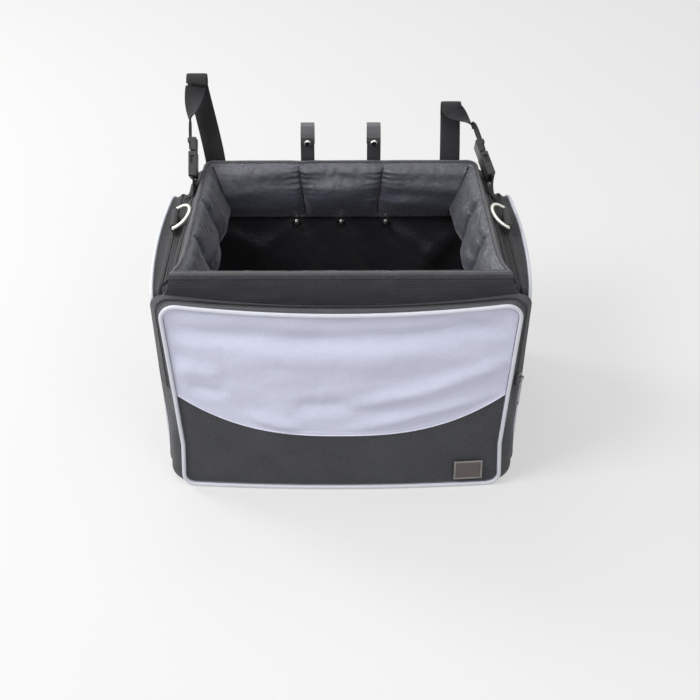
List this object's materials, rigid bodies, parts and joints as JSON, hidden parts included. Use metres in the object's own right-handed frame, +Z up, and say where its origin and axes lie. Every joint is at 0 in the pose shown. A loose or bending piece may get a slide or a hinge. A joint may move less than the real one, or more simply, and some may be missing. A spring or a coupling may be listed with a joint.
{
  "type": "bicycle front box",
  "caption": "Open-top padded bicycle box with zipped pockets on three sides, handlebar hooks, side-release straps and leash rings.",
  "frame": {"origin": "centre of the tub's underside", "axes": "+Z up, -Y towards the front pocket, +Y towards the handlebar, +X to the side with the front zip's slider"},
  "size_m": [0.4285, 0.3512, 0.3642],
  "materials": {
    "black_polyester": "woven black cloth",
    "lining_cloth": "smooth black cloth",
    "quilted_nylon": "padded dark grey nylon",
    "grey_nylon": "light grey woven nylon",
    "reflective_piping": "silver grey piping",
    "webbing": "black woven webbing",
    "black_plastic": "black moulded plastic",
    "board": "stiff plastic board",
    "black_steel": "black coated steel",
    "grey_hook": "dark grey satin steel",
    "bright_zinc": "bright zinc plated steel",
    "nickel": "nickel plated wire",
    "label_rubber": "dark rubber patch"
  },
  "bodies": {
    "box": {"front_panel": "black_polyester", "back_panel": "black_polyester", "side_panel_left": "black_polyester", "side_panel_right": "black_polyester", "base_panel": "black_polyester", "base_board": "board", "back_board": "board", "inner_lining": "lining_cloth", "rim_pad_front": "quilted_nylon", "rim_pad_back": "quilted_nylon", "rim_pad_left": "quilted_nylon", "rim_pad_right": "quilted_nylon", "rim_binding": "quilted_nylon", "cover_zip_tape": "webbing", "front_pocket_band": "black_polyester", "front_pocket_tray": "black_polyester", "front_pocket_grey_lower": "grey_nylon", "front_piping_lower": "reflective_piping", "front_label": "label_rubber", "side_pocket_band_left": "black_polyester", "side_pocket_band_right": "black_polyester", "side_pocket_tray_left": "black_polyester", "side_pocket_tray_right": "black_polyester", "side_piping_lower_left": "reflective_piping", "side_piping_lower_right": "reflective_piping", "mounting_rail": "black_steel", "rail_bolt_left": "bright_zinc", "rail_bolt_middle": "bright_zinc", "rail_bolt_right": "bright_zinc", "rail_nut_left": "black_steel", "rail_nut_middle": "black_steel", "rail_nut_right": "black_steel", "handlebar_hook_left": "grey_hook", "handlebar_hook_right": "grey_hook", "hook_screw_left": "bright_zinc", "hook_screw_right": "bright_zinc", "handlebar_strap_left": "webbing", "handlebar_strap_right": "webbing", "buckle_socket_left": "black_plastic", "buckle_socket_right": "black_plastic", "buckle_anchor_left": "webbing", "buckle_anchor_right": "webbing", "d_ring_tab_left": "webbing", "d_ring_tab_right": "webbing"},
    "front_flap": {"front_pocket_flap": "grey_nylon", "front_piping_upper": "reflective_piping"},
    "front_slider": {"front_zip_slider": "black_steel"},
    "front_pull": {"front_zip_pull": "black_steel"},
    "side_flap_left": {"side_pocket_flap_left": "black_polyester", "side_piping_upper_left": "reflective_piping"},
    "side_flap_right": {"side_pocket_flap_right": "black_polyester", "side_piping_upper_right": "reflective_piping"},
    "side_slider_left": {"side_left_zip_slider": "black_steel"},
    "side_slider_right": {"side_right_zip_slider": "black_steel"},
    "side_pull_left": {"side_left_zip_pull": "black_steel"},
    "side_pull_right": {"side_right_zip_pull": "black_steel"},
    "plug_left": {"buckle_plug_left": "black_plastic"},
    "plug_right": {"buckle_plug_right": "black_plastic"},
    "ring_left": {"d_ring_left": "nickel"},
    "ring_right": {"d_ring_right": "nickel"}
  },
  "joints": [
    {"name": "front_flap_fold", "type": "hinge", "parent": "box", "child": "front_flap", "pos_m": [0, -0.168, 0.132], "axis": [1, 0, 0], "range_deg": [0, 95]},
    {"name": "front_zip_slide", "type": "slide", "parent": "box", "child": "front_slider", "axis": [0.0674, 0, 0.9977], "range_m": [-0.004, 0.085]},
    {"name": "front_pull_swing", "type": "hinge", "parent": "front_slider", "child": "front_pull", "pos_m": [0.20128, -0.14693, 0.14259], "axis": [-0.4889, -0.8717, 0.033], "range_deg": [0, 150]},
    {"name": "side_flap_fold_left", "type": "hinge", "parent": "box", "child": "side_flap_left", "pos_m": [-0.20694, 0, 0.125], "axis": [0, -1, 0], "range_deg": [0, 90]},
    {"name": "side_flap_fold_right", "type": "hinge", "parent": "box", "child": "side_flap_right", "pos_m": [0.20694, 0, 0.125], "axis": [0, 1, 0], "range_deg": [0, 90]},
    {"name": "side_zip_slide_left", "type": "slide", "parent": "box", "child": "side_slider_left", "axis": [-0.0215, 0, 0.9998], "range_m": [-0.01, 0.05]},
    {"name": "side_zip_slide_right", "type": "slide", "parent": "box", "child": "side_slider_right", "axis": [0.0215, 0, 0.9998], "range_m": [-0.01, 0.05]},
    {"name": "side_pull_swing_left", "type": "hinge", "parent": "side_slider_left", "child": "side_pull_left", "pos_m": [-0.18794, 0.1204, 0.15], "axis": [0.9998, 0, 0.0215], "range_deg": [0, 150]},
    {"name": "side_pull_swing_right", "type": "hinge", "parent": "side_slider_right", "child": "side_pull_right", "pos_m": [0.18794, 0.1204, 0.15], "axis": [0.9998, 0, -0.0215], "range_deg": [0, 150]},
    {"name": "buckle_release_left", "type": "slide", "parent": "box", "child": "plug_left", "axis": [0, 0.5983, 0.8013], "range_m": [0, 0.016]},
    {"name": "buckle_release_right", "type": "slide", "parent": "box", "child": "plug_right", "axis": [-0.3103, 0.7287, 0.6106], "range_m": [0, 0.016]},
    {"name": "d_ring_swing_left", "type": "hinge", "parent": "box", "child": "ring_left", "pos_m": [-0.1925, 0.015, 0.2535], "axis": [0, -1, 0], "range_deg": [0, 150]},
    {"name": "d_ring_swing_right", "type": "hinge", "parent": "box", "child": "ring_right", "pos_m": [0.1925, 0.015, 0.2535], "axis": [0, 1, 0], "range_deg": [0, 150]}
  ]
}
